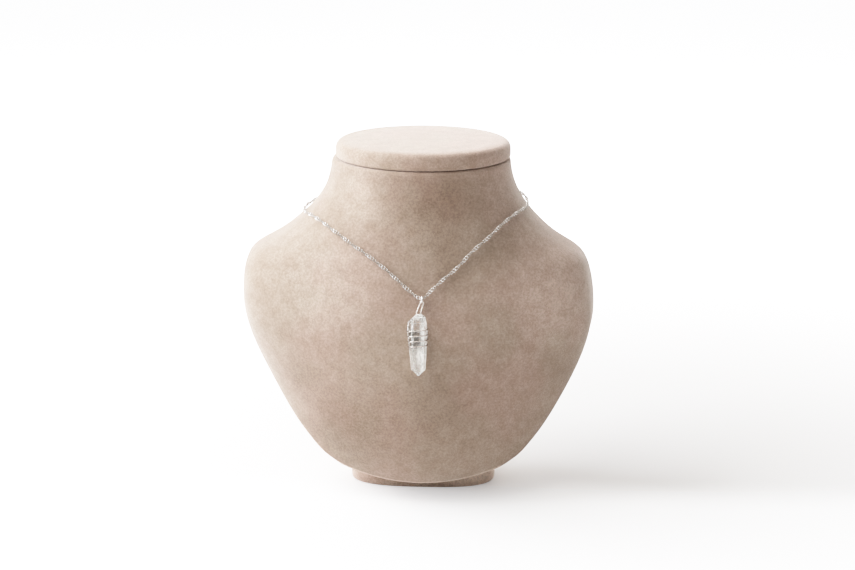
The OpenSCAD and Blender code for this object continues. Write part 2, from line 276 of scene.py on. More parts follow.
# The veils inside the crystal. Columns: middle below the chain, to the right, behind the axis, turn, lean,
# width and height
VEILS = [
    (12.5 * MM, -1.2 * MM, -0.6 * MM, 25, 12, 4.0 * MM, 5.0 * MM),
    (17.5 * MM, 1.6 * MM, 0.4 * MM, -35, -8, 3.6 * MM, 8.0 * MM),
    (20.5 * MM, -2.6 * MM, 0.8 * MM, 50, 6, 3.2 * MM, 7.0 * MM),
    (28.0 * MM, 0.6 * MM, -1.2 * MM, 12, 3, 4.0 * MM, 9.0 * MM),
    (33.0 * MM, -1.6 * MM, -0.8 * MM, -20, -3, 3.4 * MM, 9.0 * MM),
]
# Dark sheets of painted shade inside the crystal, in the same columns
PAINTED_SHADES = [
    (19.5 * MM, -1.2 * MM, 0.6 * MM, 10, 10, 3.4 * MM, 6.0 * MM),
    (24.0 * MM, -0.2 * MM, -0.4 * MM, -12, -8, 5.0 * MM, 6.0 * MM),
]


# Meshes and pieces

def finished_mesh(bm, name):
    """A bmesh made into a mesh, and let go."""
    mesh = bpy.data.meshes.new(name)
    bm.to_mesh(mesh)
    bm.free()
    return mesh


def put_in_scene(name, data):
    """A new object with this data, linked to the scene."""
    obj = bpy.data.objects.new(name, data)
    bpy.context.scene.collection.objects.link(obj)
    return obj


def merged_copy(node):
    """A CAD node's mesh as a bmesh, with its loose triangles joined into one skin."""
    bm = bmesh.new()
    bm.from_mesh(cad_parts[node].data)
    bmesh.ops.remove_doubles(bm, verts=bm.verts, dist=SAME_POINT)
    return bm


def piece(bm, name, body, material, node=None, sharp_angle=None):
    """Turns a bmesh into a finished piece that rides on a body and stands for a CAD node."""
    mesh = finished_mesh(bm, name)
    for face in mesh.polygons:
        face.use_smooth = True
    if sharp_angle is not None:
        mesh.set_sharp_from_angle(angle=math.radians(sharp_angle))
    obj = put_in_scene(name, mesh)
    mesh.materials.append(material)
    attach(obj, body)
    if node:
        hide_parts(node)
    return obj


def rounded(obj, levels):
    """Finishes a piece with a subdivision surface, the same in the view and in the render."""
    subdivision = obj.modifiers.new("rounding", "SUBSURF")
    subdivision.levels = levels
    subdivision.render_levels = levels
    return obj


def four_sided(bm):
    """Joins the skin's triangles in pairs, so that it can be rounded evenly."""
    bmesh.ops.join_triangles(
        bm, faces=bm.faces, angle_face_threshold=PAIR_TURN, angle_shape_threshold=PAIR_SHAPE
    )


def sharper_than(bm, degrees):
    """The edges where the skin turns by more than an angle."""
    return [e for e in bm.edges if e.calc_face_angle(0) > math.radians(degrees)]


def rounded_edges(bm, edges, width, segments):
    """Rounds edges of the skin, and gives back the new faces."""
    rounding = bmesh.ops.bevel(
        bm, geom=edges, offset=width, offset_type="OFFSET", affect="EDGES", segments=segments, profile=0.5,
        material=-1
    )
    return rounding["faces"]


def edges_among(geom):
    """The edges among an operator's results."""
    return [part for part in geom if isinstance(part, bmesh.types.BMEdge)]


def corners_among(geom):
    """The corners among an operator's results."""
    return [part for part in geom if isinstance(part, bmesh.types.BMVert)]


def clamped(share):
    """A share kept between 0 and 1."""
    return max(0, min(1, share))


# Steps that the materials share

def new_material(name):
    """A material, its node tree and its surface shader."""
    material = bpy.data.materials.new(name)
    material.use_nodes = True
    return material, material.node_tree, material.node_tree.nodes["Principled BSDF"]


def feed(tree, value, socket):
    """Gives a socket another node's output, or a value of its own."""
    if isinstance(value, bpy.types.NodeSocket):
        tree.links.new(value, socket)
    else:
        socket.default_value = value


def joined(tree, operation, *values):
    """Numbers or sockets joined by one step of arithmetic."""
    node = tree.nodes.new("ShaderNodeMath")
    node.operation = operation
    for value, socket in zip(values, node.inputs):
        feed(tree, value, socket)
    return node.outputs["Value"]


def moved_place(tree, operation, *places):
    """Places joined by one step of arithmetic."""
    node = tree.nodes.new("ShaderNodeVectorMath")
    node.operation = operation
    for value, socket in zip(places, node.inputs):
        feed(tree, value, socket)
    return node.outputs["Vector"]


def far_from(tree, place, middle=None):
    """How far a place is from a middle, or from the origin."""
    node = tree.nodes.new("ShaderNodeVectorMath")
    node.operation = "LENGTH"
    if middle:
        node.operation = "DISTANCE"
        node.inputs[1].default_value = middle
    tree.links.new(place, node.inputs[0])
    return node.outputs["Value"]


def ramp(tree, value, start, end, low, high, change="SMOOTHSTEP"):
    """A change from one value to another while a socket goes from its start to its end."""
    node = tree.nodes.new("ShaderNodeMapRange")
    node.interpolation_type = change
    tree.links.new(value, node.inputs["Value"])
    for label, number in (("From Min", start), ("From Max", end), ("To Min", low), ("To Max", high)):
        feed(tree, number, node.inputs[label])
    return node.outputs["Result"]


def mixed(tree, mask, first, second, blend="MIX"):
    """A colour between two colours or colour sockets, by a mask socket or a share."""
    node = tree.nodes.new("ShaderNodeMix")
    node.data_type = "RGBA"
    node.blend_type = blend
    for value, socket in ((mask, node.inputs[0]), (first, node.inputs[6]), (second, node.inputs[7])):
        feed(tree, (*value, 1) if isinstance(value, tuple) else value, socket)
    return node.outputs[2]


def place_on_piece(tree):
    """Each point's place on its piece, which is its place in the frame at rest."""
    return tree.nodes.new("ShaderNodeTexCoord").outputs["Object"]


def directions(tree):
    """The same place as three numbers, by direction."""
    apart = tree.nodes.new("ShaderNodeSeparateXYZ")
    tree.links.new(place_on_piece(tree), apart.inputs["Vector"])
    return apart.outputs


def cloudy_noise(tree, place, scale, detail):
    """The outputs of a noise texture over a place."""
    node = tree.nodes.new("ShaderNodeTexNoise")
    for label, value in (("Vector", place), ("Scale", scale), ("Detail", detail)):
        feed(tree, value, node.inputs[label])
    return node.outputs


def drawn_mask(tree, name):
    """A mask that a piece's own mesh carries."""
    node = tree.nodes.new("ShaderNodeAttribute")
    node.attribute_name = name
    return node.outputs["Fac"]


def group_tree(name, inputs, outputs):
    """A shader group with named number inputs and outputs of a named kind."""
    tree = bpy.data.node_groups.new(name, "ShaderNodeTree")
    for label, value in inputs:
        socket = tree.interface.new_socket(name=label, in_out="INPUT", socket_type="NodeSocketFloat")
        socket.default_value = value
    for label, kind in outputs:
        tree.interface.new_socket(name=label, in_out="OUTPUT", socket_type=kind)
    return tree, tree.nodes.new("NodeGroupInput").outputs, tree.nodes.new("NodeGroupOutput").inputs


def place_group(tree, group, **values):
    """The outputs of a shader group, placed with its own values."""
    node = tree.nodes.new("ShaderNodeGroup")
    node.node_tree = group
    for label, value in values.items():
        node.inputs[label].default_value = value
    return node.outputs


def cloudy_group():
    """Soft blotches in the object's own space, by size, octaves and the span of noise that they fade over."""
    tree, given, put = group_tree(
        "soft blotches",
        [("Scale", 40.0), ("Detail", 3.0), ("Low", 0.35), ("High", 0.65)],
        [("Mask", "NodeSocketFloat")],
    )
    cloud = cloudy_noise(tree, place_on_piece(tree), given["Scale"], given["Detail"])["Fac"]
    tree.links.new(ramp(tree, cloud, given["Low"], given["High"], 0, 1), put["Mask"])
    return tree


# Camera and stage

def photo_camera():
    """The camera that sees the bust as the photograph does."""
    turn, tilt = math.radians(VIEW_TURN), math.radians(VIEW_TILT)
    forward = Vector((-math.sin(turn) * math.cos(tilt), math.cos(turn) * math.cos(tilt), -math.sin(tilt)))
    data = bpy.data.cameras.new("photo_camera")
    data.sensor_width = 36
    data.lens = FOCAL_PIXELS / PHOTO_WIDTH * data.sensor_width
    data.clip_start = 0.01
    data.clip_end = 50
    camera = put_in_scene("photo_camera", data)
    camera.location = Vector(VIEW_AIM) - forward * VIEW_DISTANCE
    camera.rotation_euler = (-forward).to_track_quat("Z", "Y").to_euler()
    bpy.context.scene.camera = camera


def soft_light(name, turn, tilt, size, watts, warmth):
    """A soft box at a turn from the front towards the right and a height angle, aimed at the chest."""
    turn, tilt = math.radians(turn), math.radians(tilt)
    away = Vector((math.sin(turn) * math.cos(tilt), -math.cos(turn) * math.cos(tilt), math.sin(tilt)))
    data = bpy.data.lights.new(name, "AREA")
    data.shape = "RECTANGLE"
    data.size, data.size_y = size
    data.energy = watts
    data.color = [1 - takes * warmth for takes in WARMTH_TAKES]
    light = put_in_scene(name, data)
    light.location = Vector(LIGHT_AIM) + away * LIGHT_DISTANCE
    light.rotation_euler = away.to_track_quat("Z", "Y").to_euler()


def table_material():
    """White board that ends in the white room: away from the part it glows to the eye, but hardly lights."""
    material, tree, surface = new_material("white_board")
    surface.inputs["Roughness"].default_value = 0.7
    surface.inputs["Specular IOR Level"].default_value = 0.2
    surface.inputs["Base Color"].default_value = TABLE_COLOUR
    surface.inputs["Emission Color"].default_value = GLOW_COLOUR
    seen = tree.nodes.new("ShaderNodeLightPath").outputs["Is Camera Ray"]
    away = far_from(tree, place_on_piece(tree), GLOW_MIDDLE)
    glow = ramp(tree, away, *TABLE_GLOW[:2], 0, TABLE_GLOW[2])
    front = ramp(tree, directions(tree)["Y"], *FRONT_GLOW[:2], 0, FRONT_GLOW[2])
    share = ramp(tree, seen, 0, 1, TABLE_LIGHT, 1)
    glow = joined(tree, "MULTIPLY", joined(tree, "ADD", glow, front), share)
    tree.links.new(glow, surface.inputs["Emission Strength"])
    return material


def white_table():
    """A plain white table that fades into the white room."""
    bm = bmesh.new()
    bmesh.ops.create_circle(bm, segments=64, radius=TABLE_RADIUS, cap_ends=True)
    mesh = finished_mesh(bm, "white_table")
    table = put_in_scene("white_table", mesh)
    mesh.materials.append(table_material())


def white_room():
    """A white room, with a strength of its own for the eye, for dull things and for polished ones."""
    world = bpy.data.worlds.new("white_room")
    world.use_nodes = True
    tree = world.node_tree
    room = tree.nodes["Background"]
    room.inputs["Color"].default_value = ROOM_COLOUR
    seen = tree.nodes.new("ShaderNodeLightPath").outputs
    strength = ROOM_SHINE
    for kind, own in (("Is Camera Ray", ROOM_WHITE), ("Is Diffuse Ray", ROOM_LIGHT)):
        strength = joined(tree, "MULTIPLY_ADD", seen[kind], own - ROOM_SHINE, strength)
    tree.links.new(strength, room.inputs["Strength"])
    bpy.context.scene.world = world


def photo_tones():
    """The soft shoulder of the photograph's highlights, as a curve over the rendered light."""
    view = bpy.context.scene.view_settings
    view.view_transform = "Standard"
    view.use_curve_mapping = True
    tones = view.curve_mapping
    tones.white_level = (TONE_WHITE,) * 3
    curve = tones.curves[3]
    full = 1 - math.exp(-TONE_GAIN * TONE_WHITE)
    for light in TONE_STEPS:
        curve.points.new(light / TONE_WHITE, (1 - math.exp(-TONE_GAIN * light)) / full)
    tones.update()


def studio():
    """A white table in a white room, lit by soft boxes that stand mostly on the left and behind."""
    white_table()
    white_room()
    for light in STUDIO_LIGHTS:
        soft_light(*light)
    photo_tones()


# Velvet

def painted_patch_group():
    """How light the velvet is painted: 1 where there is no painted light or shade, more or less in patches
    with wandering edges.
    """
    tree, given, put = group_tree("painted light and shade", [("Wander", 0.014)], [("Lightness", "NodeSocketFloat")])
    place = place_on_piece(tree)
    cloud = cloudy_noise(tree, place, scale=34, detail=3)["Color"]
    wander = tree.nodes.new("ShaderNodeVectorMath")
    wander.operation = "SCALE"
    tree.links.new(moved_place(tree, "SUBTRACT", cloud, (0.5, 0.5, 0.5)), wander.inputs[0])
    tree.links.new(given["Wander"], wander.inputs["Scale"])
    place = moved_place(tree, "ADD", place, wander.outputs["Vector"])
    lightness = 1
    middle_y, half_y = PAINTED_PATCH_DEPTH
    for across, up, wide, tall, light in PAINTED_LIGHT_AND_SHADE.values():
        shrunk = (1 / (wide * MM), 1 / (half_y * MM), 1 / (tall * MM))
        middle = (-across / wide, -middle_y / half_y, -up / tall)
        away = far_from(tree, moved_place(tree, "MULTIPLY_ADD", place, shrunk, middle))
        lightness = joined(tree, "MULTIPLY", ramp(tree, away, 0, 1, light, 1), lightness)
    tree.links.new(lightness, put["Lightness"])
    return tree


def velvet_material(blotches, painted_patches):
    """Beige short-pile velvet: painted light and shade in patches, brushed marks, a fine grain, a sheen and
    the fold's painted light and painted shade lines.
    """
    material, tree, surface = new_material("beige_velvet")
    wide = place_group(tree, blotches, Scale=22.0, Detail=2.0, Low=0.38, High=0.62)["Mask"]
    marks = place_group(tree, blotches, Scale=150.0, Detail=5.0, Low=0.3, High=0.7)["Mask"]
    speckle = place_group(tree, blotches, Scale=800.0, Detail=2.0, Low=0.3, High=0.7)["Mask"]
    grain = place_group(tree, blotches, Scale=2200.0, Detail=3.0, Low=0.3, High=0.7)["Mask"]
    # Painted light and painted shade over the velvet, in patches
    painted_patch_share = ramp(tree, place_group(tree, painted_patches)["Lightness"], *PAINTED_PATCH_LIGHTNESS, 0, 1, "LINEAR")
    colour = mixed(tree, wide, *VELVET)
    # The fold masks paint light along the fold, on the cap and on the foot, and paint shade along the fold's
    # right
    for mask, tints in (
        (marks, BRUSHED), (speckle, SPECKLED), (grain, PILE), (painted_patch_share, PAINTED_PATCH_TINTS),
        (drawn_mask(tree, "fold"), PAINTED_LIGHT_TINT), (drawn_mask(tree, "shaded_fold"), SHADED_FOLD),
    ):
        colour = mixed(tree, 1.0, colour, mixed(tree, mask, *tints), "MULTIPLY")
    tree.links.new(colour, surface.inputs["Base Color"])
    surface.inputs["Roughness"].default_value = 0.95
    surface.inputs["Specular IOR Level"].default_value = 0.1
    surface.inputs["Sheen Weight"].default_value = 0.65
    surface.inputs["Sheen Roughness"].default_value = 0.45
    surface.inputs["Sheen Tint"].default_value = (1, 0.93, 0.88, 1)
    bump = tree.nodes.new("ShaderNodeBump")
    bump.inputs["Strength"].default_value = 0.3
    bump.inputs["Distance"].default_value = 0.2 * MM
    tree.links.new(grain, bump.inputs["Height"])
    tree.links.new(bump.outputs["Normal"], surface.inputs["Normal"])
    return material


# Silver

def silver_material(blotches):
    """Polished silver, faintly cloudy in its colour and its shine."""
    material, tree, surface = new_material("polished_silver")
    haze = place_group(tree, blotches, **HAZE)["Mask"]
    tree.links.new(mixed(tree, haze, *POLISHED_SILVER), surface.inputs["Base Color"])
    rough = ramp(tree, haze, 0, 1, *POLISHED_ROUGHNESS, "LINEAR")
    tree.links.new(rough, surface.inputs["Roughness"])
    surface.inputs["Metallic"].default_value = 1
    return material


def wire_material(blotches):
    """Silver wire: bright where it stands free, with painted shade, warmer and darker, where it is wound
    round the crystal.
    """
    material, tree, surface = new_material("wire_silver_painted_shade")
    haze = place_group(tree, blotches, **HAZE)["Mask"]
    free = ramp(tree, directions(tree)["Z"], *WIRE_SHADE_ENDS, 0, 1)
    # Painted shade where the wire is wound round the crystal
    colour = mixed(tree, free, mixed(tree, haze, *WOUND_WIRE_PAINTED_SHADE), FREE_SILVER)
    tree.links.new(colour, surface.inputs["Base Color"])
    surface.inputs["Roughness"].default_value = 0.24
    surface.inputs["Metallic"].default_value = 1
    return material


def chain_material(blotches):
    """Silver of the chain: bright where the links are filed, with painted shade, darker and duller, in their
    recesses.
    """
    material, tree, surface = new_material("chain_silver")
    haze = place_group(tree, blotches, **HAZE)["Mask"]
    filed = drawn_mask(tree, "filed")
    colour = mixed(tree, filed, mixed(tree, haze, *RECESS_PAINTED_SHADE), FILED_SILVER)
    tree.links.new(colour, surface.inputs["Base Color"])
    rough = ramp(tree, filed, 0, 1, *CHAIN_ROUGHNESS, "LINEAR")
    tree.links.new(rough, surface.inputs["Roughness"])
    surface.inputs["Metallic"].default_value = 1
    return material


# Quartz

def quartz_material(blotches):
    """Clear quartz, faintly frosted in patches and dull along its worn edges."""
    material, tree, surface = new_material("clear_quartz")
    frost = place_group(tree, blotches, Scale=260.0, Detail=4.0, Low=0.45, High=0.75)["Mask"]
    tree.links.new(mixed(tree, frost, *CLEAR_QUARTZ), surface.inputs["Base Color"])
    rough = ramp(tree, frost, 0, 1, *QUARTZ_ROUGHNESS, "LINEAR")
    dull = joined(tree, "MULTIPLY_ADD", drawn_mask(tree, "worn"), WORN_ROUGHNESS, rough)
    tree.links.new(dull, surface.inputs["Roughness"])
    surface.inputs["IOR"].default_value = 1.544
    surface.inputs["Transmission Weight"].default_value = 1
    return material


def milk_group():
    """Where the quartz is milky, by its parts, and where it is on its light side, as all of its top is."""
    tree, given, put = group_tree(
        "milky parts", [("Strength", 0.85)], [("Mask", "NodeSocketFloat"), ("Side", "NodeSocketFloat")]
    )
    place = directions(tree)
    mask = 0
    for direction, start, full, most in MILKY_PARTS:
        mask = joined(tree, "MAXIMUM", ramp(tree, place[direction], start, full, 0, most), mask)
    tree.links.new(joined(tree, "MULTIPLY", mask, given["Strength"]), put["Mask"])
    right = ramp(tree, place["X"], *LIGHT_SIDE, 0, 1)
    top = ramp(tree, place["Z"], *MILKY_TOP, 0, 1)
    tree.links.new(joined(tree, "MAXIMUM", right, top), put["Side"])
    return tree


def milk_material(blotches, milky_parts):
    """Milky quartz: tiny bubbles in clouds and in streaks along the crystal, with a painted glow on its light
    side.
    """
    material, tree, surface = new_material("milky_quartz")
    cloud = place_group(tree, blotches, Scale=330.0, Detail=4.0, Low=0.38, High=0.62)["Mask"]
    parts = place_group(tree, milky_parts, Strength=0.9)
    along = tree.nodes.new("ShaderNodeMapping")
    along.inputs["Scale"].default_value = STREAK_SCALE
    tree.links.new(place_on_piece(tree), along.inputs["Vector"])
    streaks = cloudy_noise(tree, along.outputs["Vector"], scale=1, detail=3)["Fac"]
    streaked = ramp(tree, streaks, *STREAK_SPAN, STREAK_THINNEST, 1, "LINEAR")
    density = ramp(tree, cloud, 0, 1, CLOUD_THINNEST, 1, "LINEAR")
    alpha = joined(tree, "MULTIPLY", parts["Mask"], density)
    tree.links.new(joined(tree, "MULTIPLY", alpha, streaked), surface.inputs["Alpha"])
    white = mixed(tree, parts["Side"], *MILK)
    colour = mixed(tree, 1.0, white, mixed(tree, streaked, *MILK_STREAKS), "MULTIPLY")
    tree.links.new(colour, surface.inputs["Base Color"])
    # Painted glow on the light side
    tree.links.new(mixed(tree, parts["Side"], *MILK_PAINTED_GLOW), surface.inputs["Emission Color"])
    surface.inputs["Emission Strength"].default_value = 1
    surface.inputs["Roughness"].default_value = 0.7
    surface.inputs["IOR"].default_value = 1.1
    return material


def shade_sheet_material(blotches):
    """Painted shade inside the quartz: a dark sheet that throws no light back, see-through in patches."""
    material, tree, surface = new_material("painted_shade_sheet")
    patches = place_group(tree, blotches, Scale=420.0, Detail=3.0, Low=0.36, High=0.52)["Mask"]
    tree.links.new(joined(tree, "MULTIPLY", patches, PAINTED_SHADE_HIDES), surface.inputs["Alpha"])
    surface.inputs["Base Color"].default_value = PAINTED_SHADE
    surface.inputs["Roughness"].default_value = 0.8
    surface.inputs["IOR"].default_value = 1.1
    return material


# The bust

def rim_edges(bm):
    """The edges of the cloth's fold: the sharp ones, and between two heights the faint ones too."""
    rim = []
    for e in bm.edges:
        low, high = sorted(v.co.z for v in e.verts)
        if not e.is_manifold or low <= RIM_LOWEST or max(v.co.y for v in e.verts) > RIM_BACK:
            continue
        faint = low > RIM_FAINT[0] and high < RIM_FAINT[1]
        if e.calc_face_angle() > (FAINT_RIM_ANGLE if faint else RIM_ANGLE):
            rim.append(e)
    return rim


def rim_corners(bm):
    """The corners on the fold's edges, in the skin's own order."""
    on_rim = {v for e in rim_edges(bm) for v in e.verts}
    return [v for v in bm.verts if v in on_rim]


def clear_rim(bm):
    """Draws the slivers beside the rim into it, so that it can be rounded evenly."""
    bmesh.ops.remove_doubles(bm, verts=rim_corners(bm), dist=RIM_ROUND)
    corners = rim_corners(bm)
    on_rim = set(corners)
    close = {}
    for v in bm.verts:
        if v not in on_rim:
            near = min(corners, key=lambda c: (c.co - v.co).length)
            if (near.co - v.co).length < RIM_CLEARED:
                close[v] = near
    bmesh.ops.weld_verts(bm, targetmap=close)
    bmesh.ops.dissolve_degenerate(bm, dist=SAME_POINT, edges=bm.edges[:])
    flaps = list({f for e in bm.edges if e.is_boundary for f in e.link_faces})
    bmesh.ops.delete(bm, geom=flaps, context="FACES")
    bm.normal_update()


def straightest(corner, ahead):
    """The edge from a corner that goes on most nearly straight ahead."""
    return max(corner.link_edges, key=lambda e: (e.other_vert(corner).co - corner.co).normalized().dot(ahead))


def whole_rim(rim):
    """The rim with its faintest part: on each side it is followed on, edge by edge, up to its top."""
    rim = list(rim)
    for side in (-1, 1):
        points = [(v.co.z, e, v) for e in rim for v in e.verts if side * v.co.x > 0 and v.co.y < RIM_FRONT]
        _, last, tip = max(points, key=lambda row: row[0])
        while tip.co.z < RIM_TOP:
            ahead = (tip.co - last.other_vert(tip).co).normalized()
            last = straightest(tip, ahead)
            tip = last.other_vert(tip)
            rim.append(last)
    return rim


def fold_lines(bm, fold):
    """Marks the faces of the fold for its pale line of painted light on the left and its dark line of painted
    shade on the right.
    """
    pale, dark = (bm.loops.layers.float.new(name) for name in ("fold", "shaded_fold"))
    for face in fold:
        line, (full, gone) = (pale, PALE_LINE)
        if face.calc_center_median().x > DARK_LINE_RIGHT:
            line, (full, gone) = (dark, DARK_LINE)
        for corner in face.loops:
            corner[line] = clamped((gone - corner.vert.co.z) / (gone - full))


def bust_body(material):
    """The velvet body, with the cloth's fold rounded along its rim."""
    bm = merged_copy("neck_bust")
    four_sided(bm)
    clear_rim(bm)
    fold = rounded_edges(bm, whole_rim(rim_edges(bm)), RIM_ROUND, 3)
    bm.normal_update()
    # Painted light and painted shade along the fold
    fold_lines(bm, fold)
    return rounded(piece(bm, "bust_body", "root", material, "neck_bust"), 2)


def cap_outline(radius, shoulder, top):
    """The cap's outline from the middle of its underside out and up to the middle of its crown."""
    low_steps, top_steps, crown_steps = CAP_STEPS
    rows = [(0, 0)]
    for k in range(low_steps + 1):
        a = math.radians(90 * k / low_steps)
        rows.append((radius - CAP_LOW_ROUND * (1 - math.sin(a)), CAP_LOW_ROUND * (1 - math.cos(a))))
    for k in range(top_steps + 1):
        a = math.radians(CAP_TOP_TURN * k / top_steps)
        up = shoulder - CAP_TOP_ROUND * (CAP_TOP_HEIGHT - math.sin(a))
        rows.append((radius - CAP_TOP_ROUND * (1 - math.cos(a)), up))
    across, up = rows[-1]
    for k in range(1, crown_steps + 1):
        left = 1 - k / crown_steps
        rows.append((across * left, top - (top - up) * left ** 2))
    return rows


def cap_pad(material):
    """The padded cap: a plain seam edge below, a full round edge above and a slightly domed crown."""
    low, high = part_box("bust_cap")
    size = high - low
    top = size.z + CAP_RISE
    shoulder = top - CAP_CROWN
    bm = bmesh.new()
    points = [bm.verts.new((across, 0, up)) for across, up in cap_outline(size.x / 2, shoulder, top)]
    outline = [bm.edges.new(pair) for pair in zip(points, points[1:])]
    bmesh.ops.spin(
        bm, geom=points + outline, cent=(0, 0, 0), axis=UP, angle=FULL_TURN, steps=OVAL_SIDES, use_merge=True
    )
    bmesh.ops.remove_doubles(bm, verts=bm.verts, dist=SAME_POINT)
    bmesh.ops.scale(bm, vec=(1, size.y / size.x, 1), verts=bm.verts)
    bmesh.ops.translate(bm, verts=bm.verts, vec=((low.x + high.x) / 2, (low.y + high.y) / 2, low.z))
    bmesh.ops.recalc_face_normals(bm, faces=bm.faces)
    # Painted light: the crown lighter as lit from above, and the side lighter towards the lit left
    pale = bm.verts.layers.float.new("fold")
    plain, left = CAP_SIDE_PAINTED_LIGHT
    for v in bm.verts:
        on_crown = v.co.z > low.z + shoulder - CROWN_DOWN
        v[pale] = CROWN_PAINTED_LIGHT if on_crown else plain + left * max(0, v.co.x / low.x)
    return piece(bm, "cap_pad", "root", material, "bust_cap")


def foot_pad(material):
    """The foot, an oval with full ends, its edges rounded as the cloth is drawn round them."""
    low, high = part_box("bust_foot")
    size = high - low
    bm = bmesh.new()
    oval = bmesh.ops.create_circle(bm, segments=OVAL_SIDES, radius=1, cap_ends=True)["verts"]
    for v in oval:
        reach = (abs(v.co.x) ** FOOT_FULLNESS + abs(v.co.y) ** FOOT_FULLNESS) ** (1 / FOOT_FULLNESS)
        v.co *= 0.5 / reach
    bmesh.ops.scale(bm, vec=(size.x, size.y, 1), verts=oval)
    raised = bmesh.ops.extrude_face_region(bm, geom=bm.faces[:], use_keep_orig=True)["geom"]
    bmesh.ops.translate(bm, verts=corners_among(raised), vec=(0, 0, size.z))
    rounded_edges(bm, sharper_than(bm, 60), FOOT_ROUND, 4)
    bmesh.ops.recalc_face_normals(bm, faces=bm.faces)
    # Painted light on the foot, growing towards the right, where it lies in shade
    pale = bm.verts.layers.float.new("fold")
    plain, right = FOOT_PAINTED_LIGHT
    for v in bm.verts:
        v[pale] = plain + right * max(0, v.co.x / high.x)
    return piece(bm, "foot_pad", "root", material, "bust_foot", sharp_angle=40)


# The chain

def smooth_path(points):
    """Points along the smooth curve through a route, as the solid's own tube follows it."""
    path = []
    last = len(points) - 1
    for i in range(last):
        a, b, c, d = (Vector(points[max(0, min(last, i + k))]) for k in (-1, 0, 1, 2))
        for k in range(ROUTE_STEPS):
            t = k / ROUTE_STEPS
            path.append(b + 0.5 * t * (c - a + t * (2 * a - 5 * b + 4 * c - d + t * (3 * (b - c) + d - a))))
    path.append(Vector(points[last]))
    return path


def chain_path():
    """The chain's path from the clasp's right eye round the front to its left eye."""
    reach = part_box("clasp")[1].x
    right_eye, left_eye = ((side * reach, CLASP_BACK, CLASP_HEIGHT) for side in (1, -1))
    return smooth_path([right_eye, *CHAIN_ROUTE, left_eye])


def even_stations(path, pitch):
    """Evenly spaced points on a path, each with its direction and a side carried along without turning."""
    lengths = [0.0]
    for a, b in zip(path, path[1:]):
        lengths.append(lengths[-1] + (b - a).length)
    count = round(lengths[-1] / pitch)
    step = lengths[-1] / count
    side = UP
    stations = []
    i = 0
    for k in range(count + 1):
        want = k * step
        while i < len(path) - 2 and lengths[i + 1] < want:
            i += 1
        share = (want - lengths[i]) / (lengths[i + 1] - lengths[i])
        ahead = (path[min(i + 2, len(path) - 1)] - path[max(i - 1, 0)]).normalized()
        side = (side - ahead * side.dot(ahead)).normalized()
        stations.append((path[i].lerp(path[i + 1], share), ahead, side.copy()))
    return stations


def roll_per_link(stations):
    """How far each link is rolled on from the one before, so that the last one lies as the first does."""
    half_turns = round(len(stations) * LINK_PITCH / HALF_TWIST)
    _, ahead, side = stations[-1]
    left_over = math.atan2(side.cross(UP).dot(ahead), side.dot(UP))
    return -(half_turns * math.pi - left_over) / (len(stations) - 1)


def twist_and_file(bm, twist):
    """Twists a link from end to end and files it flat on both sides, where its silver is bright; elsewhere it
    gets painted shade.
    """
    filed = bm.verts.layers.float.new("filed")
    for v in bm.verts:
        v.co = Matrix.Rotation(twist * v.co.x / (LINK_LONG - LINK_WIRE), 3, "X") @ v.co
        v[filed] = clamped(FILED_SPREAD * abs(v.co.z) / FILED - FILED_START)
        v.co.z = max(-FILED, min(FILED, v.co.z))


def link_mesh(twist):
    """One link along X: two half turns of wire and two straight sides, twisted and filed."""
    bm = bmesh.new()
    reach = (LINK_LONG - LINK_WIDE) / 2
    bow = (LINK_WIDE - LINK_WIRE) / 2
    upright = Matrix.Translation((reach, bow, 0)) @ Matrix.Rotation(RIGHT_ANGLE, 4, "Y")
    bmesh.ops.create_circle(bm, segments=LINK_SIDES, radius=LINK_WIRE / 2, matrix=upright)
    edges = bm.edges[:]
    for end in (1, -1):
        turned = bmesh.ops.spin(
            bm, geom=edges, cent=(end * reach, 0, 0), axis=-UP, angle=math.pi, steps=LINK_BEND_STEPS
        )
        side = bmesh.ops.extrude_edge_only(bm, edges=edges_among(turned["geom_last"]))["geom"]
        edges = edges_among(side)
        bmesh.ops.translate(bm, verts=corners_among(side), vec=(-2 * end * reach, 0, 0))
    bmesh.ops.remove_doubles(bm, verts=bm.verts, dist=SAME_POINT)
    twist_and_file(bm, twist)
    bmesh.ops.recalc_face_normals(bm, faces=bm.faces)
    return finished_mesh(bm, "chain_link")


def add_link(bm, link, point, axes):
    """Adds a link in its place, with painted shade where its filed side doesn't face outwards."""
    old = len(bm.verts)
    bm.from_mesh(link)
    bm.verts.ensure_lookup_table()
    new = bm.verts[old:]
    bmesh.ops.transform(bm, matrix=Matrix.Translation(point) @ axes.to_4x4(), verts=new)
    outward = Vector((point.x, point.y, 0)).normalized()
    facing = axes.col[2].dot(outward) ** 2
    bright = bm.verts.layers.float["filed"]
    for v in new:
        v[bright] *= LIGHT_KEPT_FACING_AWAY + (1 - LIGHT_KEPT_FACING_AWAY) * facing


def chain_links(material):
    """The whole chain in real links, the first and the last through the clasp's eyes."""
    stations = even_stations(chain_path(), LINK_PITCH)
    roll_step = roll_per_link(stations)
    link = link_mesh(RIGHT_ANGLE + roll_step)
    bm = bmesh.new()
    for i, (point, ahead, side) in enumerate(stations):
        axes = Matrix((ahead, side, ahead.cross(side))).transposed()
        add_link(bm, link, point, axes @ Matrix.Rotation(i * roll_step, 3, "X"))
    return piece(bm, "chain_links", "root", material, "chain")


# The other pieces of silver

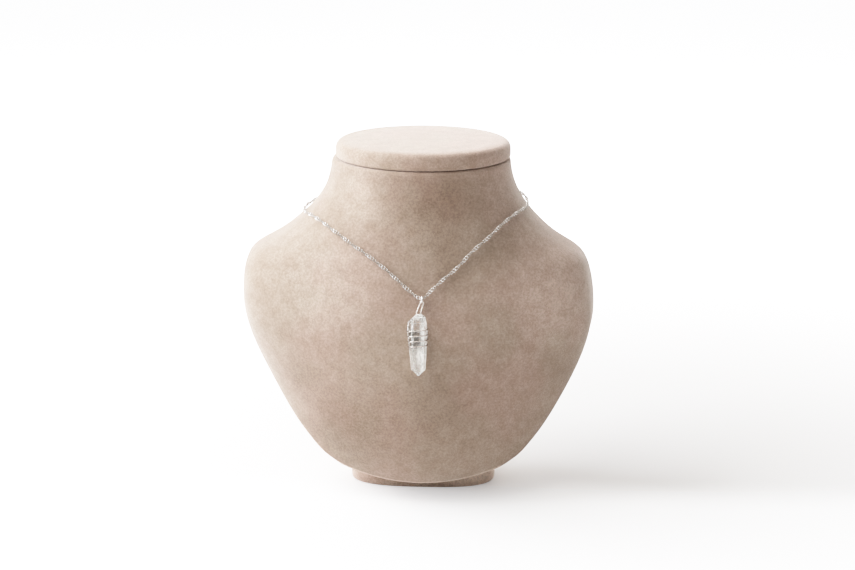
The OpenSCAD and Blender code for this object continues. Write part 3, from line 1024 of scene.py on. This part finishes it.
def wire_ring(radius, wire, steps, cut=0):
    """A ring of round wire about Z, whole or cut through by an angle."""
    sides, turns = steps
    bm = bmesh.new()
    upright = Matrix.Translation((radius, 0, 0)) @ Matrix.Rotation(RIGHT_ANGLE, 4, "X")
    bmesh.ops.create_circle(bm, segments=sides, radius=wire / 2, matrix=upright)
    first = bm.edges[:]
    spun = bmesh.ops.spin(
        bm, geom=first, cent=(0, 0, 0), axis=UP, angle=FULL_TURN - cut, steps=turns, use_merge=not cut
    )
    if cut:
        last = edges_among(spun["geom_last"])
        bmesh.ops.contextual_create(bm, geom=first)
        bmesh.ops.contextual_create(bm, geom=last)
    bmesh.ops.recalc_face_normals(bm, faces=bm.faces)
    return bm


def jump_ring(material):
    """The ring on the chain, cut through at its side as a jump ring is."""
    low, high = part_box("jump_ring")
    wire = high.x - low.x
    outer = (high.z - low.z) / 2
    bm = wire_ring(outer - wire / 2, wire, RING_STEPS, RING_CUT / outer)
    turn = Matrix.Rotation(RIGHT_ANGLE, 4, "Y") @ Matrix.Rotation(RING_CUT_TURN, 4, "Z")
    bmesh.ops.transform(bm, matrix=Matrix.Translation((low + high) / 2) @ turn, verts=bm.verts)
    return piece(bm, "ring_of_wire", "ring", material, "jump_ring", sharp_angle=50)


def add_clasp_eye(bm, across):
    """Adds one of the clasp's eyes, with its middle this far across."""
    eye = wire_ring(EYE_RADIUS, EYE_WIRE, EYE_STEPS)
    bmesh.ops.translate(eye, verts=eye.verts, vec=(across, 0, 0))
    mesh = finished_mesh(eye, "clasp_eye")
    bm.from_mesh(mesh)
    bpy.data.meshes.remove(mesh)


def clasp_barrel(material):
    """The plain clasp: a barrel with rounded ends and an eye at each end."""
    low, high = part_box("clasp")
    reach = (high.x - low.x) / 2
    bm = bmesh.new()
    bmesh.ops.create_cone(
        bm, segments=CLASP_SIDES, radius1=CLASP_WIDE / 2, radius2=CLASP_WIDE / 2, depth=CLASP_LONG,
        cap_ends=True, matrix=Matrix.Rotation(RIGHT_ANGLE, 4, "Y")
    )
    rounded_edges(bm, sharper_than(bm, 60), CLASP_ROUND, 5)
    for side in (-1, 1):
        add_clasp_eye(bm, side * (reach - EYE_RADIUS - EYE_WIRE / 2))
    bmesh.ops.translate(bm, verts=bm.verts, vec=(low + high) / 2)
    return piece(bm, "clasp_barrel", "root", material, "clasp", sharp_angle=40)


def wrapping_wire(material):
    """The wire's own path, drawn round: six sides are let out a little and smoothed to a circle."""
    bm = merged_copy("wire_wrap")
    four_sided(bm)
    bm.normal_update()
    outward = [v.normal.copy() for v in bm.verts]
    for v, out in zip(bm.verts, outward):
        v.co += out * WRAP_LET_OUT
    return rounded(piece(bm, "wrapping_wire", "pendant", material, "wire_wrap"), 2)


# The crystal

def hanging():
    """The place of the pendant: its top on the chain, leaning forward as it hangs."""
    return Matrix.Translation(CHAIN_ROUTE[HANG_POINT]) @ Matrix.Rotation(-PENDANT_LEAN, 4, "X")


def crystal(material):
    """The quartz point: its faces and its slightly worn edges."""
    bm = merged_copy("quartz_point")
    four_sided(bm)
    worn_faces = rounded_edges(bm, sharper_than(bm, 10), CRYSTAL_WEAR, 2)
    worn = bm.loops.layers.float.new("worn")
    for face in worn_faces:
        for corner in face.loops:
            corner[worn] = 1
    bmesh.ops.recalc_face_normals(bm, faces=bm.faces)
    return piece(bm, "crystal_point", "pendant", material, "quartz_point", sharp_angle=7)


def stir(verts, amount, scale):
    """Moves points by a smooth noise, for a natural uneven form."""
    for v in verts:
        v.co += noise.noise_vector(v.co * scale) * amount


def milky_core(material):
    """The skin of the cloud inside the crystal: the crystal's own form, drawn in and uneven."""
    bm = merged_copy("quartz_point")
    place = hanging()
    bmesh.ops.transform(bm, matrix=place.inverted(), verts=bm.verts)
    middle = sum((v.co for v in bm.verts), Vector()) / len(bm.verts)
    bmesh.ops.scale(bm, vec=CLOUD_SHARE, space=Matrix.Translation(-middle), verts=bm.verts)
    bmesh.ops.subdivide_edges(bm, edges=bm.edges[:], cuts=CLOUD_CUTS, use_grid_fill=True)
    stir(bm.verts, *CLOUD_STIR)
    bmesh.ops.transform(bm, matrix=place, verts=bm.verts)
    return piece(bm, "milky_core", "pendant", material)


def oval_grid(bm, wide, tall):
    """A flat grid drawn into an oval, for a sheet without corners."""
    grid = bmesh.ops.create_grid(bm, x_segments=10, y_segments=16, size=1)["verts"]
    for v in grid:
        x, y, _ = v.co
        v.co = (x * math.sqrt(0.25 - y * y / 8), y * math.sqrt(0.25 - x * x / 8), 0)
    bmesh.ops.scale(bm, vec=(wide, tall, 1), verts=grid)
    return grid


def inner_sheets(name, sheets, material):
    """Thin wavy sheets inside the crystal, most of them standing along its length."""
    bm = bmesh.new()
    for down, across, depth, turn, lean, wide, tall in sheets:
        grid = oval_grid(bm, wide, tall)
        upright = Matrix.Rotation(math.radians(90 - lean), 4, "X")
        turned = Matrix.Rotation(math.radians(turn), 4, "Z") @ upright
        spot = Matrix.Translation((CRYSTAL_AXIS[0] + across, CRYSTAL_AXIS[1] + depth, -down))
        bmesh.ops.transform(bm, matrix=spot @ turned, verts=grid)
        stir(grid, *SHEET_STIR)
    bmesh.ops.transform(bm, matrix=hanging(), verts=bm.verts)
    return piece(bm, name, "pendant", material)


# Build

noise.seed_set(NOISE_SEED)
photo_camera()
studio()
blotches = cloudy_group()
velvet = velvet_material(blotches, painted_patch_group())
silver = silver_material(blotches)
quartz = quartz_material(blotches)
bust_body(velvet)
cap_pad(velvet)
foot_pad(velvet)
chain_links(chain_material(blotches))
clasp_barrel(silver)
jump_ring(silver)
wrapping_wire(wire_material(blotches))
crystal(quartz)
milk = milk_material(blotches, milk_group())
milky_core(milk)
inner_sheets("inner_veils", VEILS, milk)
inner_sheets("inner_shade_sheets", PAINTED_SHADES, shade_sheet_material(blotches))
